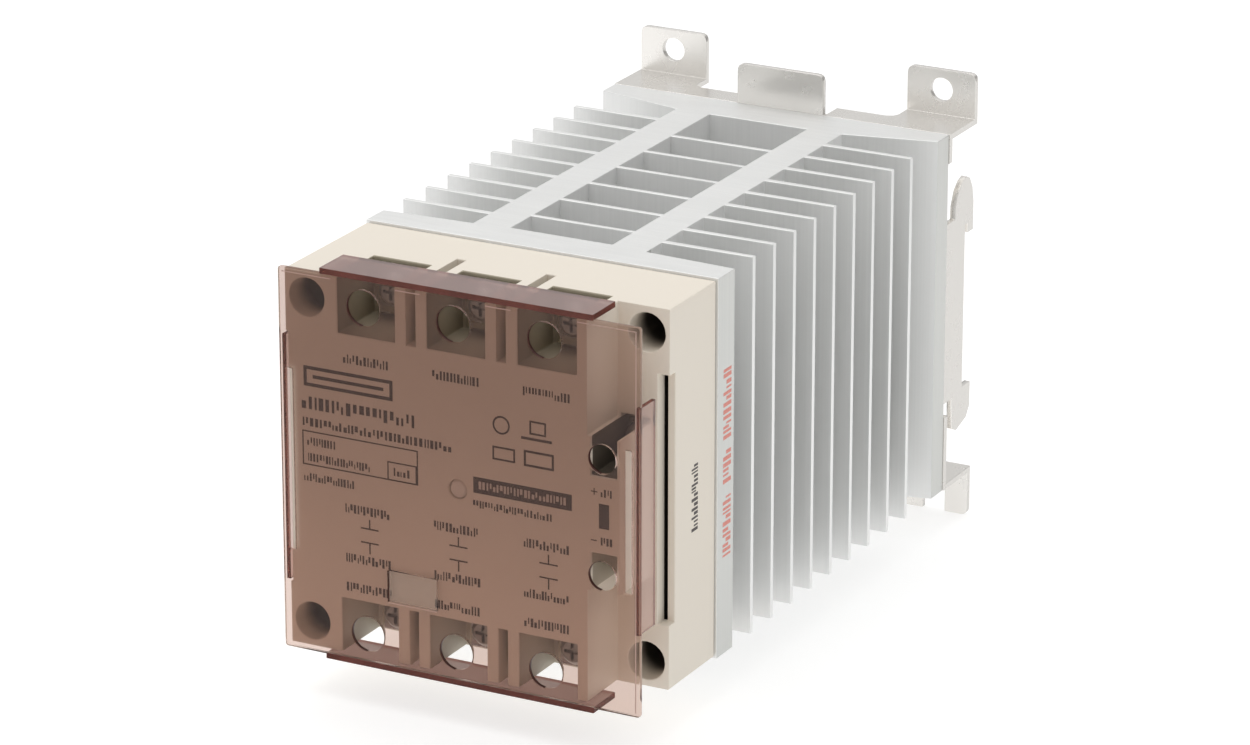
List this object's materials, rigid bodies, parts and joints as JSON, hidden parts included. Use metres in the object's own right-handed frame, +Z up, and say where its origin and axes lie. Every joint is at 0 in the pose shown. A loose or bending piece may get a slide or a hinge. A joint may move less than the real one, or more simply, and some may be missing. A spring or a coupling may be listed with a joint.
{
  "type": "three-phase solid state relay",
  "caption": "Panel or rail mounted solid state relay with a deep finned heat sink, screw terminals behind a smoked pull-off cover, and a sprung rail latch.",
  "frame": {"origin": "in the plane of the panel, at the back of the bracket's ears, on the centre line and half way up the heat sink", "axes": "+Y from the front of the relay into the panel, +Z up, +X to the right seen from the front"},
  "size_m": [0.1004, 0.1927, 0.1246],
  "materials": {
    "sink_alloy": "satin extruded aluminium",
    "beige_moulding": "fine matt moulding",
    "smoked_cover": "brown smoked transparent plastic",
    "plated_steel": "bright nickel plate",
    "tinned_brass": "tin plate over brass",
    "zinc_screw": "zinc plate",
    "board_green": "solder mask",
    "black_epoxy": "moulded epoxy",
    "thermal_grey": "filled silicone",
    "varistor_blue": "dipped epoxy",
    "clear_lens": "clear moulding",
    "capacitor_yellow": "box capacitor",
    "spring_steel": "bare spring wire",
    "latch_black": "glass-filled nylon"
  },
  "bodies": {
    "relay": {"heat_sink": "sink_alloy", "housing": "beige_moulding", "light_pipe": "clear_lens", "circuit_board": "board_green", "led_emitter": "clear_lens", "mounting_bracket": "plated_steel", "thermal_pad_1": "thermal_grey", "thermal_pad_2": "thermal_grey", "thermal_pad_3": "thermal_grey", "power_module_1": "black_epoxy", "power_module_2": "black_epoxy", "power_module_3": "black_epoxy", "photocoupler_1": "black_epoxy", "photocoupler_2": "black_epoxy", "photocoupler_3": "black_epoxy", "varistor_1": "varistor_blue", "varistor_2": "varistor_blue", "varistor_3": "varistor_blue", "snubber_capacitor_1": "capacitor_yellow", "snubber_capacitor_2": "capacitor_yellow", "snubber_capacitor_3": "capacitor_yellow", "corner_screw_1": "zinc_screw", "corner_screw_2": "zinc_screw", "corner_screw_3": "zinc_screw", "corner_screw_4": "zinc_screw", "bracket_screw_1": "zinc_screw", "bracket_screw_2": "zinc_screw", "bracket_screw_3": "zinc_screw", "bracket_screw_4": "zinc_screw", "line_1_terminal": "tinned_brass", "line_2_terminal": "tinned_brass", "line_3_terminal": "tinned_brass", "load_1_terminal": "tinned_brass", "load_2_terminal": "tinned_brass", "load_3_terminal": "tinned_brass", "control_plus_terminal": "tinned_brass", "control_minus_terminal": "tinned_brass", "latch_spring": "spring_steel"},
    "cover": {"terminal_cover": "smoked_cover"},
    "latch": {"rail_latch": "latch_black"},
    "line_1_clamp": {"line_1_washer": "zinc_screw"},
    "line_1_driver": {"line_1_screw": "zinc_screw"},
    "line_2_clamp": {"line_2_washer": "zinc_screw"},
    "line_2_driver": {"line_2_screw": "zinc_screw"},
    "line_3_clamp": {"line_3_washer": "zinc_screw"},
    "line_3_driver": {"line_3_screw": "zinc_screw"},
    "load_1_clamp": {"load_1_washer": "zinc_screw"},
    "load_1_driver": {"load_1_screw": "zinc_screw"},
    "load_2_clamp": {"load_2_washer": "zinc_screw"},
    "load_2_driver": {"load_2_screw": "zinc_screw"},
    "load_3_clamp": {"load_3_washer": "zinc_screw"},
    "load_3_driver": {"load_3_screw": "zinc_screw"},
    "control_plus_clamp": {"control_plus_washer": "zinc_screw"},
    "control_plus_driver": {"control_plus_screw": "zinc_screw"},
    "control_minus_clamp": {"control_minus_washer": "zinc_screw"},
    "control_minus_driver": {"control_minus_screw": "zinc_screw"}
  },
  "joints": [
    {"name": "cover_pull", "type": "slide", "parent": "relay", "child": "cover", "axis": [0, -1, 0], "range_m": [0, 0.06]},
    {"name": "latch_slide", "type": "slide", "parent": "relay", "child": "latch", "axis": [0, 0, -1], "range_m": [0, 0.004], "stiffness_N_per_m": 400, "springref_m": -0.003, "deforming": ["latch_spring"]},
    {"name": "line_1_lift", "type": "slide", "parent": "relay", "child": "line_1_clamp", "axis": [0, -1, 0], "range_m": [0, 0.0035]},
    {"name": "line_1_turn", "type": "hinge", "parent": "line_1_clamp", "child": "line_1_driver", "pos_m": [-0.02625, -0.17, 0.0428], "axis": [0, -1, 0], "range_deg": [0, 1801]},
    {"name": "line_2_lift", "type": "slide", "parent": "relay", "child": "line_2_clamp", "axis": [0, -1, 0], "range_m": [0, 0.0035]},
    {"name": "line_2_turn", "type": "hinge", "parent": "line_2_clamp", "child": "line_2_driver", "pos_m": [-0.0011, -0.17, 0.0428], "axis": [0, -1, 0], "range_deg": [0, 1801]},
    {"name": "line_3_lift", "type": "slide", "parent": "relay", "child": "line_3_clamp", "axis": [0, -1, 0], "range_m": [0, 0.0035]},
    {"name": "line_3_turn", "type": "hinge", "parent": "line_3_clamp", "child": "line_3_driver", "pos_m": [0.02405, -0.17, 0.0428], "axis": [0, -1, 0], "range_deg": [0, 1801]},
    {"name": "load_1_lift", "type": "slide", "parent": "relay", "child": "load_1_clamp", "axis": [0, -1, 0], "range_m": [0, 0.0035]},
    {"name": "load_1_turn", "type": "hinge", "parent": "load_1_clamp", "child": "load_1_driver", "pos_m": [-0.02625, -0.17, -0.0428], "axis": [0, -1, 0], "range_deg": [0, 1801]},
    {"name": "load_2_lift", "type": "slide", "parent": "relay", "child": "load_2_clamp", "axis": [0, -1, 0], "range_m": [0, 0.0035]},
    {"name": "load_2_turn", "type": "hinge", "parent": "load_2_clamp", "child": "load_2_driver", "pos_m": [-0.0011, -0.17, -0.0428], "axis": [0, -1, 0], "range_deg": [0, 1801]},
    {"name": "load_3_lift", "type": "slide", "parent": "relay", "child": "load_3_clamp", "axis": [0, -1, 0], "range_m": [0, 0.0035]},
    {"name": "load_3_turn", "type": "hinge", "parent": "load_3_clamp", "child": "load_3_driver", "pos_m": [0.02405, -0.17, -0.0428], "axis": [0, -1, 0], "range_deg": [0, 1801]},
    {"name": "control_plus_lift", "type": "slide", "parent": "relay", "child": "control_plus_clamp", "axis": [0, -1, 0], "range_m": [0, 0.003]},
    {"name": "control_plus_turn", "type": "hinge", "parent": "control_plus_clamp", "child": "control_plus_driver", "pos_m": [0.0395, -0.17, 0.0151], "axis": [0, -1, 0], "range_deg": [0, 1801]},
    {"name": "control_minus_lift", "type": "slide", "parent": "relay", "child": "control_minus_clamp", "axis": [0, -1, 0], "range_m": [0, 0.003]},
    {"name": "control_minus_turn", "type": "hinge", "parent": "control_minus_clamp", "child": "control_minus_driver", "pos_m": [0.0395, -0.17, -0.0151], "axis": [0, -1, 0], "range_deg": [0, 1801]}
  ],
  "couplings": [
    {"joint": "line_1_turn", "follows": "line_1_lift", "rad_per_m": 8976},
    {"joint": "line_2_turn", "follows": "line_2_lift", "rad_per_m": 8976},
    {"joint": "line_3_turn", "follows": "line_3_lift", "rad_per_m": 8976},
    {"joint": "load_1_turn", "follows": "load_1_lift", "rad_per_m": 8976},
    {"joint": "load_2_turn", "follows": "load_2_lift", "rad_per_m": 8976},
    {"joint": "load_3_turn", "follows": "load_3_lift", "rad_per_m": 8976},
    {"joint": "control_plus_turn", "follows": "control_plus_lift", "rad_per_m": 10472},
    {"joint": "control_minus_turn", "follows": "control_minus_lift", "rad_per_m": 10472}
  ]
}
